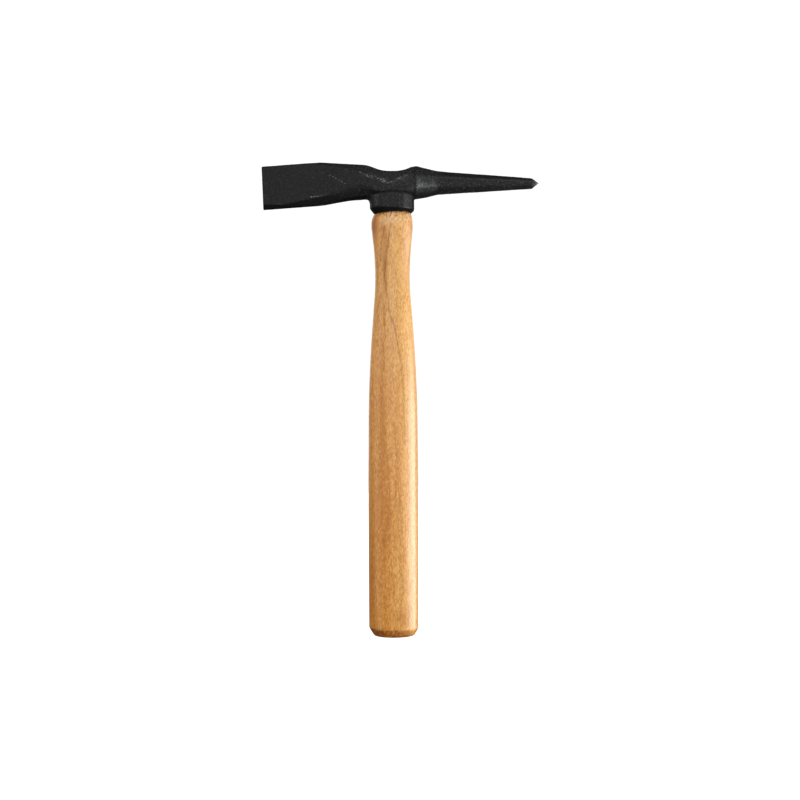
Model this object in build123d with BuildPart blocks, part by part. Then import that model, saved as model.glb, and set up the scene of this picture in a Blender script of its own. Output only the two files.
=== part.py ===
from build123d import *
import math
import os

# Brick chipping hammer: a forged steel head with a flat chisel blade on one side and an
# octagonal pick on the other, held by wedges on an oval wooden handle.
#
# Frame, in millimetres: +Z runs up the handle, with the origin at the centre of the butt.
# The chisel blade points to -X and the pick to +X. Front and back are mirror images.
# Sketches on Plane.YZ have their first axis along Y and their second along Z.

# ---- heights along the handle ----
COLLAR_BOTTOM = 295.5
BOSS_BOTTOM = 310.0
EYE_WAIST = 308.0
SADDLE_LOW = 324.6
HEAD_TOP = 330.6
TENON_TOP = 323.9

# ---- chisel blade and neck: eight-sided sections from the cutting edge to the eye ----
# x, underside z, top z, half depth, half width of the underside, half width of the top,
# height of the lower bevel, height of the upper bevel
BLADE_SECTIONS = [
    (-93.0, 298.8, 328.9, 0.9, 0.6, 0.7, 1.2, 0.3),
    (-50.0, 302.0, HEAD_TOP, 7.0, 3.6, 5.2, 4.9, 1.9),
    (-29.0, 305.8, 329.5, 10.1, 5.2, 6.6, 6.4, 4.8),
    (-20.0, 306.8, 328.8, 11.4, 6.2, 7.6, 7.4, 6.2),
    (-8.0, 307.2, 328.6, 12.6, 7.5, 9.0, 7.4, 6.8),
]
CUTTING_EDGE_X = -91.3
CUTTING_EDGE_Z = 314.0
CUTTING_EDGE_LEAN = 2.2

# ---- eye boss: the cheeks around the handle, dipped on top in a round saddle ----
BOSS_CENTRE_X = -0.6
BOSS_LENGTH = 31.6
BOSS_TOP = 328.1
BOSS_HALF_DEPTH = 13.5
BOSS_TOP_HALF_DEPTH = 11.8
BOSS_SHOULDER_Z = 317.0
BOSS_CORNER = 9.5
SADDLE_X = -1.5
SADDLE_RADIUS = 42.0
SADDLE_WIDTH = 2 * BOSS_HALF_DEPTH + 2

# ---- collar under the eye ----
COLLAR_CENTRE_X = -0.3
COLLAR_LENGTH = 31.2
COLLAR_DEPTH = 26.4
COLLAR_CORNER = 9.8
COLLAR_CHAMFER_HEIGHT = 4.0
COLLAR_CHAMFER_WIDTH = 2.9

# ---- pick: octagonal sections with softened corners, then a ground point ----
PICK_AXIS_Z = 317.3
# x, distance across flats, corner radius
PICK_SECTIONS = [
    (4.0, 21.6, 7.0),
    (15.8, 21.6, 7.0),
    (32.5, 15.2, 2.0),
    (97.6, 6.9, 0.8),
]
# x, distance across flats
POINT_SECTIONS = [
    (97.6, 6.9),
    (102.1, 0.6),
]
OCTAGON_TURN = 22.5

# ---- eye: an oval hole, narrowest at its waist and flared to both ends ----
# z, half length along X, half depth along Y
EYE_MOUTH = (COLLAR_BOTTOM, 11.8, 8.9)
EYE_NECK = (EYE_WAIST, 11.3, 8.4)
EYE_TOP = (HEAD_TOP, 13.0, 9.9)
TENON_CLEARANCE = 0.03

# ---- handle: a turned profile, flattened to an oval and cut off flat at both ends ----
# half width along X, height: the butt's chamfer starts below the cut, and the shoulder
# ends above it
CHAMFER_START = (13.1, -2.0)
GRIP_START = (17.2, 4.3)
GRIP_PROFILE = [
    (17.45, 70.0),
    (17.3, 130.0),
    (16.6, 172.0),
    (15.1, 201.0),
    (13.2, 226.0),
    (12.05, 247.0),
    (12.65, 267.0),
    (14.1, 281.5),
    (14.65, 288.3),
    (14.0, 292.7),
    (12.6, COLLAR_BOTTOM),
]
SHOULDER_END = (11.6, 296.5)
HANDLE_FLATTENING = 0.765

# ---- wedges that spread the tenon in the eye ----
WOODEN_WEDGE_TIP_Z = 302.0
WOODEN_WEDGE_TIP = 0.8
WOODEN_WEDGE_HEAD = 3.8
WOODEN_WEDGE_LENGTH = 30.0
STEEL_WEDGE_TIP_Z = 311.0
STEEL_WEDGE_TIP = 0.5
STEEL_WEDGE_HEAD = 2.4
STEEL_WEDGE_WIDTH = 11.0
STEEL_WEDGE_PLACES = {"chisel_side": -6.2, "pick_side": 6.2}


def pick_plane(x):
    """Plane across the pick's axis, with its first axis along Y and its second along Z."""
    return Plane((x, 0, PICK_AXIS_Z), x_dir=(0, 1, 0), z_dir=(1, 0, 0))


def eye_section(station, clearance=0.0):
    """Oval section of the eye at a station, drawn smaller by the clearance."""
    z, half_length, half_depth = station
    with BuildSketch(Plane.XY.offset(z)) as section:
        Ellipse(half_length - clearance, half_depth - clearance)
    return section.sketch


def eye_station(z):
    """Size of the eye at a height above its waist."""
    share = (z - EYE_NECK[0]) / (EYE_TOP[0] - EYE_NECK[0])
    half_length = EYE_NECK[1] + share * (EYE_TOP[1] - EYE_NECK[1])
    half_depth = EYE_NECK[2] + share * (EYE_TOP[2] - EYE_NECK[2])
    return (z, half_length, half_depth)


def tenon_sections():
    """Sections of the wood that fills the eye, from its mouth to the saddle."""
    stations = [EYE_MOUTH, EYE_NECK, eye_station(TENON_TOP)]
    return [eye_section(station, TENON_CLEARANCE) for station in stations]


os.makedirs("parts", exist_ok=True)

# ---- head: one steel forging ----
with BuildPart() as head:
    # The boss: cheeks that lean in above their shoulder, rounded at the corners in plan.
    with BuildSketch(Plane.YZ.offset(BOSS_CENTRE_X - BOSS_LENGTH / 2)):
        with BuildLine():
            Polyline(
                (-BOSS_HALF_DEPTH, BOSS_BOTTOM),
                (BOSS_HALF_DEPTH, BOSS_BOTTOM),
                (BOSS_HALF_DEPTH, BOSS_SHOULDER_Z),
                (BOSS_TOP_HALF_DEPTH, BOSS_TOP),
                (-BOSS_TOP_HALF_DEPTH, BOSS_TOP),
                (-BOSS_HALF_DEPTH, BOSS_SHOULDER_Z),
                close=True,
            )
        make_face()
    extrude(amount=BOSS_LENGTH)
    with BuildSketch(Plane((BOSS_CENTRE_X, 0, BOSS_BOTTOM))):
        RectangleRounded(BOSS_LENGTH, 2 * BOSS_HALF_DEPTH, BOSS_CORNER)
    extrude(amount=BOSS_TOP - BOSS_BOTTOM, mode=Mode.INTERSECT)

    # The blade and neck: a wedge that thickens from the cutting edge into the boss.
    for x, low, high, depth, low_half, high_half, low_bevel, high_bevel in BLADE_SECTIONS:
        with BuildSketch(Plane.YZ.offset(x)):
            with BuildLine():
                Polyline(
                    (-low_half, low),
                    (low_half, low),
                    (depth, low + low_bevel),
                    (depth, high - high_bevel),
                    (high_half, high),
                    (-high_half, high),
                    (-depth, high - high_bevel),
                    (-depth, low + low_bevel),
                    close=True,
                )
            make_face()
    loft(ruled=True)

    # The pick: it flares at its root and tapers evenly to the ground point.
    for x, across, corner in PICK_SECTIONS:
        with BuildSketch(pick_plane(x)):
            octagon = RegularPolygon(across / 2, 8, major_radius=False, rotation=OCTAGON_TURN)
            fillet(octagon.vertices(), corner)
    loft(ruled=True)
    for x, across in POINT_SECTIONS:
        with BuildSketch(pick_plane(x)):
            RegularPolygon(across / 2, 8, major_radius=False, rotation=OCTAGON_TURN)
    loft(ruled=True)

    # The saddle: a shallow round dip across the top of the eye.
    with BuildSketch(Plane.XZ):
        with Locations((SADDLE_X, SADDLE_LOW + SADDLE_RADIUS)):
            Circle(SADDLE_RADIUS)
    extrude(amount=SADDLE_WIDTH / 2, both=True, mode=Mode.SUBTRACT)

    # The collar: a rounded sleeve under the eye, chamfered at its mouth.
    with BuildSketch(Plane((COLLAR_CENTRE_X, 0, COLLAR_BOTTOM))):
        RectangleRounded(COLLAR_LENGTH, COLLAR_DEPTH, COLLAR_CORNER)
    extrude(amount=BOSS_BOTTOM - COLLAR_BOTTOM)
    collar_mouth = faces().sort_by(Axis.Z)[0]
    chamfer(
        collar_mouth.edges(),
        length=COLLAR_CHAMFER_WIDTH,
        length2=COLLAR_CHAMFER_HEIGHT,
        reference=collar_mouth,
    )

    # The cutting edge leans slightly back from the handle.
    edge_normal = (1, 0, math.tan(math.radians(CUTTING_EDGE_LEAN)))
    edge_plane = Plane((CUTTING_EDGE_X, 0, CUTTING_EDGE_Z), x_dir=(0, 1, 0), z_dir=edge_normal)
    split(bisect_by=edge_plane, keep=Keep.TOP)

    # The eye goes right through, from the saddle to the collar's mouth.
    eye_sections = [eye_section(station) for station in (EYE_MOUTH, EYE_NECK, EYE_TOP)]
    loft(eye_sections, ruled=True, mode=Mode.SUBTRACT)
head.part.label = "head"
export_step(head.part, "parts/head.step")

# ---- steel wedges: driven across the wooden wedge from the top ----
steel_wedges = []
for side, x in STEEL_WEDGE_PLACES.items():
    with BuildPart() as steel_wedge:
        for z, thickness in ((STEEL_WEDGE_TIP_Z, STEEL_WEDGE_TIP), (TENON_TOP, STEEL_WEDGE_HEAD)):
            with BuildSketch(Plane((x, 0, z))):
                Rectangle(thickness, STEEL_WEDGE_WIDTH)
        loft(ruled=True)
    steel_wedge.part.label = f"steel_wedge_{side}"
    export_step(steel_wedge.part, f"parts/steel_wedge_{side}.step")
    steel_wedges.append(steel_wedge.part)

# ---- wooden wedge: driven along the eye's long axis, as long as the eye ----
with BuildPart() as wooden_wedge:
    for z, thickness in ((WOODEN_WEDGE_TIP_Z, WOODEN_WEDGE_TIP), (TENON_TOP, WOODEN_WEDGE_HEAD)):
        with BuildSketch(Plane.XY.offset(z)):
            Rectangle(WOODEN_WEDGE_LENGTH, thickness)
    loft(ruled=True)
    kerf = wooden_wedge.part
    loft(tenon_sections(), ruled=True, mode=Mode.INTERSECT)
    add(steel_wedges, mode=Mode.SUBTRACT)
wooden_wedge.part.label = "wooden_wedge"
export_step(wooden_wedge.part, "parts/wooden_wedge.step")

# ---- handle: grip, waist and shoulder in one piece of wood, with the tenon in the eye ----
with BuildPart() as handle:
    with BuildSketch(Plane.XZ):
        with BuildLine():
            Polyline(
                SHOULDER_END,
                (0, SHOULDER_END[1]),
                (0, CHAMFER_START[1]),
                CHAMFER_START,
                GRIP_START,
            )
            Spline(GRIP_START, *GRIP_PROFILE, SHOULDER_END)
        make_face()
    revolve(axis=Axis.Z)
    scale(by=(1, HANDLE_FLATTENING, 1))
    split(bisect_by=Plane.XY, keep=Keep.TOP)
    split(bisect_by=Plane.XY.offset(COLLAR_BOTTOM), keep=Keep.BOTTOM)
    loft(tenon_sections(), ruled=True)
    add(kerf, mode=Mode.SUBTRACT)
    add(steel_wedges, mode=Mode.SUBTRACT)
handle.part.label = "handle"
export_step(handle.part, "parts/handle.step")
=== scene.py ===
import math

import bmesh
import bpy
import numpy as np
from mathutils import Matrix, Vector, noise


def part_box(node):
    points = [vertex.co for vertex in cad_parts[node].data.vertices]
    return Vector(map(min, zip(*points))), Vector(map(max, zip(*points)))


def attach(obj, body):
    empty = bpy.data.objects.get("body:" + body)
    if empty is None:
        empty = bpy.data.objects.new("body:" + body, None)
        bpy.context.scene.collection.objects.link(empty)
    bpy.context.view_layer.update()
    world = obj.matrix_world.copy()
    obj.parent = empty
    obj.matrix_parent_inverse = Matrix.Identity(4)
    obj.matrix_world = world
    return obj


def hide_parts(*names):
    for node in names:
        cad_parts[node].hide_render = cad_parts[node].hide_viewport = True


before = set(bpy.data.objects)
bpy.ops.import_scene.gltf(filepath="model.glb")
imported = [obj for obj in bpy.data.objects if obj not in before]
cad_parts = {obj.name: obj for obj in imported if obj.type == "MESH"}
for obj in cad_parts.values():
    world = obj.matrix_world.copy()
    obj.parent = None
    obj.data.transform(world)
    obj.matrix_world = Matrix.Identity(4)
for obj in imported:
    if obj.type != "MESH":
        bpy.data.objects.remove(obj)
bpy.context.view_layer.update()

# The brick chipping hammer's looks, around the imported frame. Lengths below are in millimetres in
# the row frame (+Z up the handle, chisel towards -X, pick towards +X) and become metres where
# they reach Blender. The front is the -Y side.

MM = 0.001

# ---------------------------------------------------------------- places read from the frame
COLLAR_FOOT = (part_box("head")[0] / MM).z
TENON_TOP = (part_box("handle")[1] / MM).z

# ---------------------------------------------------------------- head: tracks of (x, value)
EDGE_X = -91.3
# Each section across the head has eight corners, mirrored front to back: the top, the upper
# crease, the lower crease and the underside.
TOP_Z = [(EDGE_X, 329.25), (-62, 330.6), (-50, 331.2), (-36, 330.1), (-29, 329.7), (-19, 329.0),
         (-14, 327.3), (-8, 324.8), (-3, 324.1), (3, 324.0), (9, 325.2), (13, 327.5),
         (16.5, 328.9), (24, 327.1), (32, 325.3), (40, 324.5), (60, 323.15), (80, 321.8),
         (98, 320.3)]
UPPER_Z = [(EDGE_X, 328.9), (-62, 329.8), (-50, 329.0), (-37, 326.6), (-28, 324.5),
           (-20, 321.7), (-12, 319.7), (-7.5, 318.2), (-5.2, 316.2), (-2, 315.3), (1, 316.1),
           (5, 318.3), (9, 320.1), (12, 320.9), (16.8, 321.7), (32, 320.6), (98, 318.3)]
LOWER_Z = [(EDGE_X, 299.9), (-76, 302.6), (-62, 304.9), (-50, 306.9), (-37, 309.4),
           (-28, 312.2), (-20, 313.4), (-15, 312.0), (-11, 309.6), (-5, 310.1), (5, 310.1),
           (11, 309.6), (15, 311.4), (17, 312.3), (32, 313.1), (98, 315.1)]
BOTTOM_Z = [(EDGE_X, 298.65), (-50, 301.95), (-29, 305.8), (-20, 306.5), (-12, 306.8),
            (12, 306.7), (16.6, 306.35), (24, 307.5), (32, 309.5), (41, 310.06), (66, 311.36),
            (85, 312.5), (98, 313.1)]
TOP_HALF = [(EDGE_X, 0.6), (-62, 4.8), (-50, 5.5), (-37, 6.8), (-28, 7.4), (-20, 8.3),
            (-12, 9.9), (-6, 11.0), (0, 11.7), (5, 11.5), (9, 10.4), (13, 8.3), (16.2, 4.5),
            (32, 3.15), (98, 1.4)]
FACE_HALF = [(EDGE_X, 0.9), (-50, 7.0), (-28, 10.1), (-19, 11.2), (-13, 12.4), (-8, 13.2),
             (-3, 13.55), (4, 13.55), (8, 13.1), (11, 12.5), (13.5, 11.7), (15.4, 10.8),
             (16.3, 11.3), (20, 9.95), (31, 7.5), (98, 3.4)]
BOTTOM_HALF = [(EDGE_X, 0.5), (-50, 3.6), (-28, 5.6), (-20, 6.4), (-12, 8.5), (-6, 10.8),
               (6, 10.8), (11, 8.5), (16.2, 4.5), (32, 3.15), (98, 1.4)]
# How far each corner is rounded back along its two sides.
TOP_ROUND = [(EDGE_X, 0.1), (-50, 0.5), (-20, 1.4), (0, 0.8), (12, 1.2), (16, 2.4), (26, 2.0),
             (34, 0.5), (98, 0.1)]
UPPER_ROUND = [(EDGE_X, 0.1), (-50, 0.5), (-28, 1.3), (0, 1.3), (12, 1.8), (16, 2.9),
               (26, 2.4), (34, 0.5), (98, 0.1)]
LOWER_ROUND = [(EDGE_X, 0.1), (-50, 0.7), (-40, 2.4), (-24, 3.7), (-14, 1.8), (-10, 1.0),
               (12, 1.0), (16, 2.9), (26, 2.4), (34, 1.3), (98, 0.5)]
BOTTOM_ROUND = [(EDGE_X, 0.1), (-50, 1.0), (-28, 2.2), (0, 1.0), (16, 2.9), (26, 2.4),
                (34, 0.5), (98, 0.1)]
# How far the kinks of every track are blended along x.
BLEND = [(EDGE_X, 0.1), (-80, 2.0), (-50, 2.0), (-28, 3.5), (-17, 1.6), (-12, 2.2), (8, 2.0),
         (13.5, 0.9), (15.2, 0.35), (16.6, 0.6), (22, 2.0), (30, 1.6), (60, 3.0), (97, 0.2)]
# The cutting edge is ground round: (how far in from the edge, share of the full depth).
EDGE_GRIND = ((0.0, 0.55), (0.12, 0.85), (0.35, 1.0))
# The pick's ground point, and where its rings lie along it.
POINT_START = 98.0
POINT_TIP = (102.9, 317.0)
POINT_RINGS = (0.0, 0.06, 0.3, 0.6, 0.85, 0.95, 1.0)
PICK_AXIS_Z = 316.6
# The top of the cutting edge leans outwards, and the lean dies away along the blade.
EDGE_LEAN = math.tan(math.radians(2.2))
EDGE_LEAN_Z = 314.0
EDGE_LEAN_REACH = 35.0

COLLAR_X = -0.3
COLLAR_HALF_LENGTH = 15.6
COLLAR_HALF_DEPTH = 13.3
# A quarter of the collar in plan, with a flat cheek, a facet and a rounder end, and the cuts
# that round its three corners.
COLLAR_QUARTER = [(0, COLLAR_HALF_DEPTH), (6.6, 13.15), (14.1, 8.0), (15.5, 2.0),
                  (COLLAR_HALF_LENGTH, 0)]
COLLAR_CORNER_CUTS = (2.2, 1.8, 2.0)
# The chamfer at the foot: how far in, and how far up.
COLLAR_CHAMFER = (2.9, 4.0)
COLLAR_HEAD = 312.0
# The collar's chisel end runs out into the neck by this much, between these heights over its foot.
COLLAR_FLARE = 2.2
FLARE_HEIGHTS = (6.0, 12.2)
# The chamfer's size is this share of the full one, plus a change per millimetre along x.
CHAMFER_SHARE = (0.86, -0.011)
# The collar's foot was dressed by hand, so it stands higher towards the pick.
FOOT_LIFT = [(-14, 0.0), (-6.5, 0.3), (-1, 0.9), (6, 1.0), (10, 1.3), (13, 0.7), (16, 0.2)]
# The groove where the boss sits on the collar. It sags by RING_SAG times x squared.
RING_Z = 309.6
RING_DEPTH = 0.5
RING_SAG = 0.0092
RING_HALF_WIDTH = 0.42
# How dark the painted shade in the groove is, where 1 is black.
RING_SHADE = 0.6

# The eye: (z, half length along x, half depth along y). Its cutter runs past both ends.
EYE = [(COLLAR_FOOT, 11.8, 8.9), (308.0, 11.3, 8.4), (331.0, 13.05, 9.93)]
EYE_OVERRUN = 3

# The head is remeshed into quads this wide.
HEAD_VOXEL = 0.425
# Where the neck and the pick run into the collar's ends: (x, reach, rounds of smoothing).
FILLETS = ((-16.6, 2.4, 40), (15.3, 1.4, 20))
FILLET_Z = 306.4

# Bright marks on the head's front: (path of (x, z), width, share, pitch of their beads). The first
# three are painted highlights on edges between the blade's faces; the other two are scratches.
SCRATCHES_AND_PAINTED_HIGHLIGHTS = [([(-43.5, 321.7), (-32.0, 315.2)], 0.45, 1.0, 2.1),
             ([(-56.4, 306.9), (-49.0, 307.7), (-42.5, 309.7)], 0.4, 0.62, 30.0),
             ([(-56.8, 306.9), (-56.0, 306.9)], 0.6, 1.0, 30.0),
             ([(-23.0, 323.4), (-17.4, 321.3)], 0.5, 0.5, 30.0),
             ([(-7.6, 316.0), (-2.6, 315.2)], 0.45, 0.75, 30.0)]

# ---------------------------------------------------------------- handle
SHOULDER_HALF = 12.6
# (half width, height) from the top of the butt's chamfer to the shoulder.
GRIP = [(17.2, 4.3), (17.45, 70), (17.35, 130), (16.8, 172), (15.45, 201), (13.6, 226),
        (12.17, 247), (12.75, 267), (14.1, 281.5), (14.65, 288.3), (14.0, 292.7),
        (SHOULDER_HALF, COLLAR_FOOT)]
# The rim of the butt is worn back by this much on the chisel side.
BUTT_WEAR = 0.8
# Depth as a share of width.
GRIP_FLATTENING = 0.765
BUTT_HALF = 14.4
# Clearance of the tenon in the eye, and of the ledge round it under the collar's foot.
TENON_GAP = 0.1
LEDGE_GAP = 0.15
# The grip leans towards the chisel on its way up, by these amounts in two stretches of height.
GRIP_LEAN = ((0.12, 150, 220), (0.16, 262, 286))

# ---------------------------------------------------------------- wedges
# Tapered blocks between two (half x, half y, z) rectangles.
WOODEN_WEDGE = ((14.0, 0.4, 302.0), (14.0, 1.9, TENON_TOP))
STEEL_WEDGE = ((0.25, 5.5, 311.0), (1.2, 5.5, TENON_TOP))
STEEL_WEDGE_X = 6.2
WEDGE_GAP = 0.03
# Clearance of the wooden wedge's ends in the eye.
WEDGE_END_GAP = 0.08
# The cuts for the wedges are carried this far past the tenon's top.
CUT_LIFT = 2.0

# ---------------------------------------------------------------- streaks and stains in the wood
# Streaks: (path of (x, z), width, share). Stains: ((x, z), (reach in x, reach in z), share).
FRONT_STREAKS = [
    ([(-1.0, 288), (-2.1, 279.5), (-4.2, 269.5), (-4.8, 260.7), (-5.2, 249.7), (-4.4, 241),
      (-3.1, 234), (-1.4, 224), (1.7, 214.5), (3.4, 203)], 0.55, 0.9),
    ([(3.4, 203), (6.0, 189), (7.2, 172), (7.6, 160), (8.0, 135)], 0.7, 0.5),
    ([(-5.2, 285.5), (-6.6, 279), (-7.8, 273), (-8.3, 262)], 0.7, 0.7),
    ([(-10.8, 217), (-10.2, 228), (-8.3, 240), (-6.2, 230), (-5.5, 217)], 0.55, 0.55),
    ([(-7.6, 207), (-6.0, 198), (-6.4, 186)], 0.6, 0.4),
    ([(-0.8, 190), (0.2, 182), (0.6, 172)], 0.45, 0.5),
    ([(1.6, 109), (1.8, 94)], 0.4, 0.5),
    ([(-4.1, 126), (-1.9, 94), (-4.8, 76)], 0.7, 0.35),
    ([(12.5, 100), (12.3, 61)], 0.5, 0.3),
    ([(4.4, 98), (4.5, 90)], 0.4, 0.5),
    ([(0.4, 44), (0.6, 33)], 0.4, 0.5),
    ([(6.2, 44), (6.6, 30)], 0.4, 0.45),
    ([(10.6, 22), (10.4, 8)], 0.5, 0.45),
]
BACK_STREAKS = [
    ([(3.4, 268), (2.0, 240), (3.2, 205), (1.0, 160), (1.6, 120)], 0.55, 0.7),
    ([(-6.5, 180), (-4.5, 205), (-2.6, 180)], 0.5, 0.5),
    ([(-8.0, 130), (-7.0, 84), (-8.2, 52)], 0.6, 0.5),
    ([(5.5, 70), (6.2, 36)], 0.45, 0.5),
]
# The stains at (12.5, 288) and (9.5, 262), on the pick side of the shoulder and the waist, are
# painted shade; the rest are stains.
FRONT_STAINS_AND_SHADE = [((-5.6, 257), (1.9, 13), 0.95), ((-4.6, 276), (2.0, 9), 0.6),
                ((-6.5, 285), (1.8, 5), 0.6), ((-13.6, 287), (3.6, 10), 1.25),
                ((12.5, 288), (4.0, 8), 0.5), ((9.5, 262), (4.0, 20), 0.25),
                ((-6.0, 68), (2.2, 9), 0.6), ((-3.0, 84), (3.5, 12), 0.35),
                ((6.5, 14), (5.0, 6), 0.6), ((-14.5, 40), (2.6, 70), 0.6),
                ((-7.6, 140), (2.4, 65), 0.5), ((-9.0, 104), (2.0, 10), 0.5)]

# ---------------------------------------------------------------- studio
LIGHT_CENTRE = Vector((0, 0, 180))
# The studio round the hammer: (place, brightness). The place runs from 0 straight down to 1
# straight up, by the sine of the height angle.
SURROUND = [(0.0, 0.03), (0.42, 0.04), (0.53, 0.62), (0.70, 0.62), (0.85, 0.3), (1.0, 0.15)]
# Lights: (name, azimuth, elevation, distance, size, radiance).
LIGHTS = [
    ("key", 88, -11, 960, (780, 500), 5.8),
    ("key_spread", 72, -8, 1000, (1350, 560), 2.0),
    ("left_strip", -62, 5, 950, (620, 1000), 1.1),
    ("front_fill", -4, 14, 1500, (1400, 1200), 1.5),
    ("back_fill", 190, 15, 1200, (1200, 1000), 0.8),
]
BACKDROP_STRENGTH = 1.05
FLOOR_RADIUS = 1500
FLOOR_HEIGHTS = (-4.0, -0.05)
CAMERA_PLACE = (4.9, -850, 165.05)
CAMERA_LENS = 54.44
CAMERA_SENSOR = 36.0
CAMERA_ROLL = 0.18


def track(keys, x, reach=None):
    """Value of a track at x, with its kinks blended over the reach."""
    xs, values = zip(*keys)
    if reach is None:
        reach = track(BLEND, x, 0)
    steps = np.linspace(-1, 1, 9)
    return float(np.interp(x + reach * steps, xs, values).mean())


def rounded(corners, cuts, steps=5, parts=6):
    """Points along an open polyline whose inner corners are rounded by the cut lengths."""
    corners = [np.array(c, float) for c in corners]
    points = [corners[0]]
    leave = corners[0]
    for i in range(1, len(corners) - 1):
        before, corner, after = corners[i - 1], corners[i], corners[i + 1]
        length_in, length_out = np.linalg.norm(corner - before), np.linalg.norm(after - corner)
        cut = min(cuts[i - 1], 0.45 * length_in, 0.45 * length_out)
        enter = corner + (before - corner) / length_in * cut
        exit_ = corner + (after - corner) / length_out * cut
        points += [leave + (enter - leave) * k / parts for k in range(1, parts)]
        for k in range(steps):
            t = k / (steps - 1)
            points.append((1 - t) ** 2 * enter + 2 * t * (1 - t) * corner + t ** 2 * exit_)
        leave = exit_
    points += [leave + (corners[-1] - leave) * k / parts for k in range(1, parts + 1)]
    return points


def head_section(x):
    """Closed ring of (y, z) points across the head at x."""
    top, bottom = track(TOP_Z, x), track(BOTTOM_Z, x)
    face = track(FACE_HALF, x)
    corners = [(0, top), (track(TOP_HALF, x), top), (face, track(UPPER_Z, x)),
               (face, track(LOWER_Z, x)), (track(BOTTOM_HALF, x), bottom), (0, bottom)]
    cuts = [track(keys, x) for keys in (TOP_ROUND, UPPER_ROUND, LOWER_ROUND, BOTTOM_ROUND)]
    half = rounded(corners, cuts)
    return [(y, z) for y, z in half] + [(-y, z) for y, z in half[-2:0:-1]]


def head_rings():
    """Rings of (x, y, z) from the cutting edge to the tip of the pick."""
    rings = []
    middle = (track(TOP_Z, EDGE_X) + track(BOTTOM_Z, EDGE_X)) / 2
    for inset, grow in EDGE_GRIND:
        shrink = (1 - grow) * 0.9
        ring = [(EDGE_X + inset, y * grow, z + (shrink if z < middle else -shrink))
                for y, z in head_section(EDGE_X)]
        rings.append(ring)
    stations = list(np.arange(EDGE_X + 1, -20, 1.0)) + list(np.arange(-20, 13, 0.5))
    stations += list(np.arange(13, 18, 0.25)) + list(np.arange(18, POINT_START, 1.0))
    for x in stations:
        rings.append([(x, y, z) for y, z in head_section(x)])
    for share in POINT_RINGS:
        x = POINT_START + share * (POINT_TIP[0] - POINT_START)
        grow = max(1 - share, 0.05)
        middle = PICK_AXIS_Z + (POINT_TIP[1] - PICK_AXIS_Z) * share
        rings.append([(x, y * grow, middle + (z - PICK_AXIS_Z) * grow)
                      for y, z in head_section(POINT_START)])
    leaned = []
    for ring in rings:
        fade = max(0.0, 1 - (ring[0][0] - EDGE_X) / EDGE_LEAN_REACH)
        leaned.append([(x - (z - EDGE_LEAN_Z) * EDGE_LEAN * fade, y, z) for x, y, z in ring])
    return leaned


def rounded_rectangle(half_x, half_y, corner, count=16):
    """Points round a rectangle with round corners."""
    points = []
    for turn, (sx, sy) in enumerate(((1, 1), (-1, 1), (-1, -1), (1, -1))):
        for k in range(count):
            angle = math.pi / 2 * (turn + k / (count - 1))
            points.append((sx * (half_x - corner) + corner * math.cos(angle),
                           sy * (half_y - corner) + corner * math.sin(angle)))
    return points


def collar_outline(inset):
    """Points round the collar, drawn in by the inset times the chamfer's share."""
    quarter = rounded(COLLAR_QUARTER, COLLAR_CORNER_CUTS, 6, 5)
    quarter = [tuple(point) for point in quarter]
    right = quarter + [(x, -y) for x, y in quarter[-2::-1]]
    outline = right + [(-x, y) for x, y in right[-2:0:-1]]
    insets = [inset * chamfer_share(x) for x, _ in outline]
    return [(x * (1 - cut / COLLAR_HALF_LENGTH), y * (1 - cut / COLLAR_HALF_DEPTH))
            for (x, y), cut in zip(outline, insets)]


def chamfer_share(x):
    """Size of the collar's chamfer at x from its middle, as a share of the full one."""
    return CHAMFER_SHARE[0] + CHAMFER_SHARE[1] * x


def chamfer_top(x):
    """Height where the collar's chamfer ends, at x in the row frame."""
    return COLLAR_FOOT + COLLAR_CHAMFER[1] * chamfer_share(x - COLLAR_X)


def foot_lift(x):
    """How far the collar's foot stands above its lowest point at x."""
    return np.interp(x, *zip(*FOOT_LIFT))


def collar_rings():
    """Rings of the collar from its chamfered foot to its top inside the head."""
    side, rise = COLLAR_CHAMFER
    steps = [(0.0, side + 0.35), (0.15, side + 0.05), (0.5, side - 0.35), (rise - 0.7, 0.42),
             (rise - 0.2, 0.12), (rise + 0.5, 0.0)]
    steps += [(height, 0.0) for height in np.linspace(*FLARE_HEIGHTS, 7)]
    steps.append((COLLAR_HEAD - COLLAR_FOOT, 0.0))
    rings = []
    # The foot's face is lifted like its rim, so it is made of rings that open from its middle.
    for grow in (0.1, 0.3, 0.5, 0.7, 0.85):
        face = [(COLLAR_X + x * grow, y * grow) for x, y in collar_outline(side + 0.35)]
        rings.append([(x, y, COLLAR_FOOT + foot_lift(x)) for x, y in face])
    for height, inset in steps:
        share = max(0, 1 - height / rise)
        ring = []
        for x, y in collar_outline(inset):
            local = height if height > rise + 1 else height * chamfer_share(x)
            x -= COLLAR_FLARE * smooth_step(*FLARE_HEIGHTS, height) ** 2 * smooth_step(-8, -15, x)
            ring.append((COLLAR_X + x, y, COLLAR_FOOT + local + share * foot_lift(COLLAR_X + x)))
        rings.append(ring)
    return rings


def eye_rings(gap=0.0, stations=None, count=96):
    """Rings of the oval eye, drawn smaller by the gap."""
    zs, lengths, depths = zip(*EYE)
    rings = []
    for z in stations or (zs[0] - EYE_OVERRUN, *zs, zs[-1] + EYE_OVERRUN):
        a, b = np.interp(z, zs, lengths) - gap, np.interp(z, zs, depths) - gap
        rings.append([(a * math.cos(t), b * math.sin(t), z)
                      for t in np.linspace(0, 2 * math.pi, count, endpoint=False)])
    return rings


def make_object(name, points, faces):
    """A mesh object from points in millimetres."""
    mesh = bpy.data.meshes.new(name)
    mesh.from_pydata([tuple(c * MM for c in p) for p in points], [], faces)
    made = bpy.data.objects.new(name, mesh)
    bpy.context.collection.objects.link(made)
    work = bmesh.new()
    work.from_mesh(mesh)
    bmesh.ops.recalc_face_normals(work, faces=work.faces)
    work.to_mesh(mesh)
    work.free()
    return made


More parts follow.
